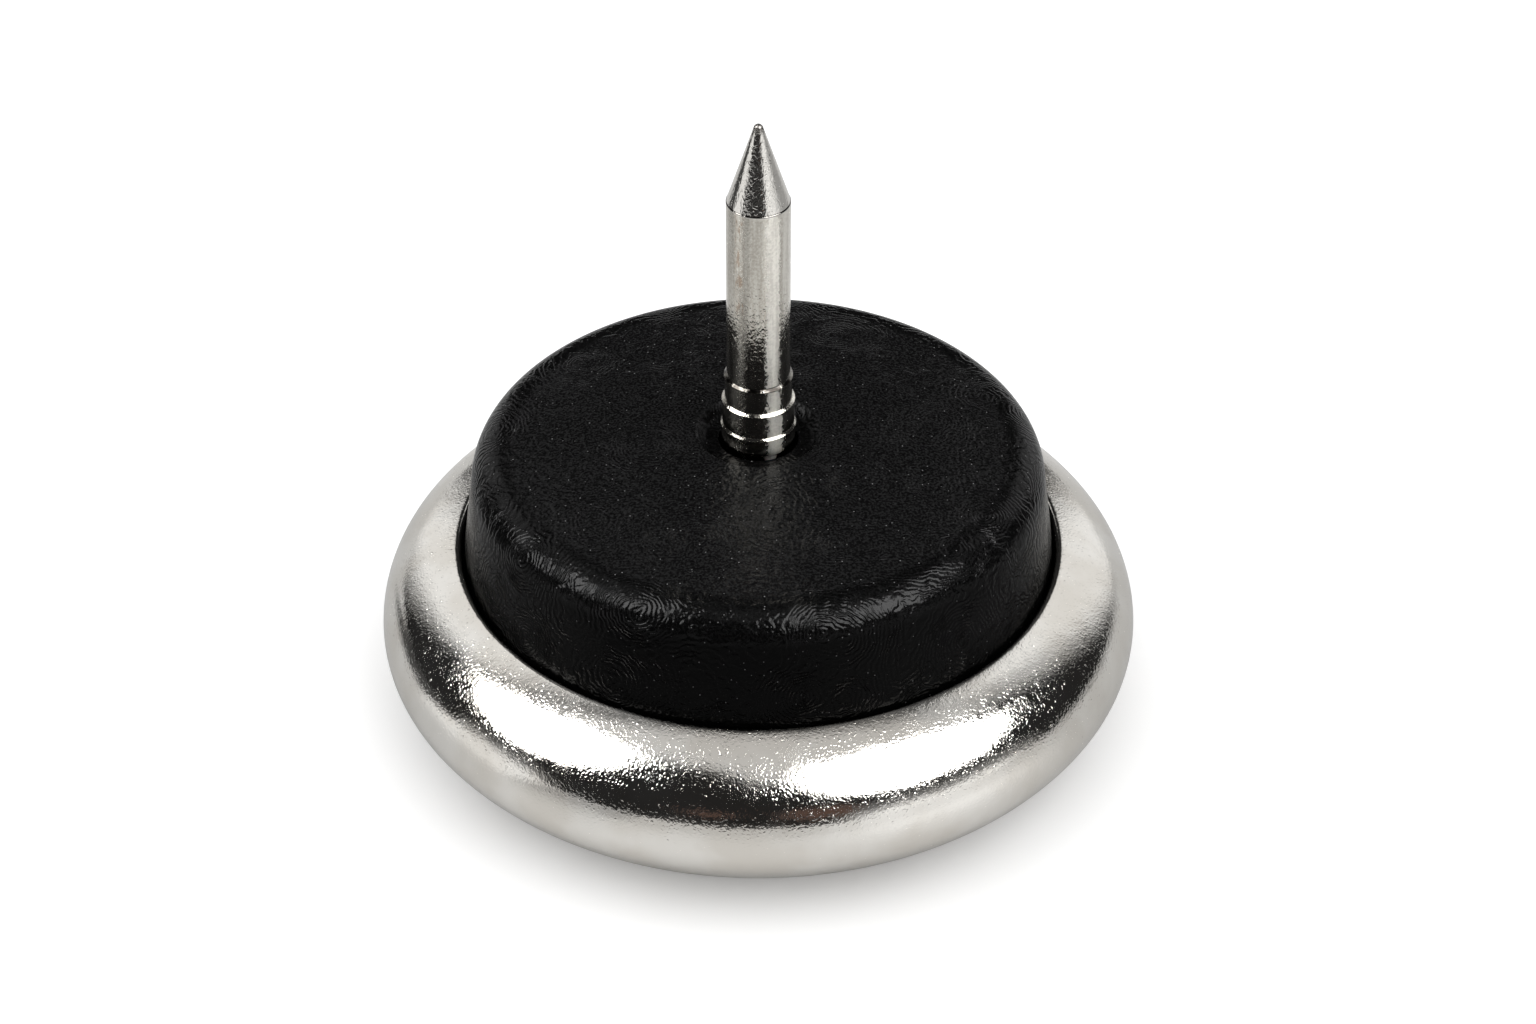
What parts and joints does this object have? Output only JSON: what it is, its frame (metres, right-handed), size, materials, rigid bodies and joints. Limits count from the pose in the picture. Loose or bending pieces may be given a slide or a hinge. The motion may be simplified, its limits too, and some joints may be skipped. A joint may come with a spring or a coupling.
{
  "type": "nail-on furniture glide",
  "caption": "Round furniture glide: a pressed nickel-plated cup with a rolled rim holds a black rubber cushion, and a ringed nail stands up from its middle.",
  "frame": {"origin": "centre of the shell's flat underside, where the glide stands on the floor", "axes": "+Z along the nail, from the floor up to its point; every piece is turned about Z, so X and Y are free"},
  "size_m": [0.032, 0.032, 0.0286],
  "materials": {
    "nickel_plate": "bright nickel plate with a faint orange-peel surface",
    "black_rubber": "satin moulded rubber with a fine pebble grain",
    "nail_steel": "bright plated steel with fine forming marks on the point"
  },
  "bodies": {
    "root": {"glide_shell": "nickel_plate", "cushion": "black_rubber", "nail": "nail_steel"}
  },
  "joints": []
}
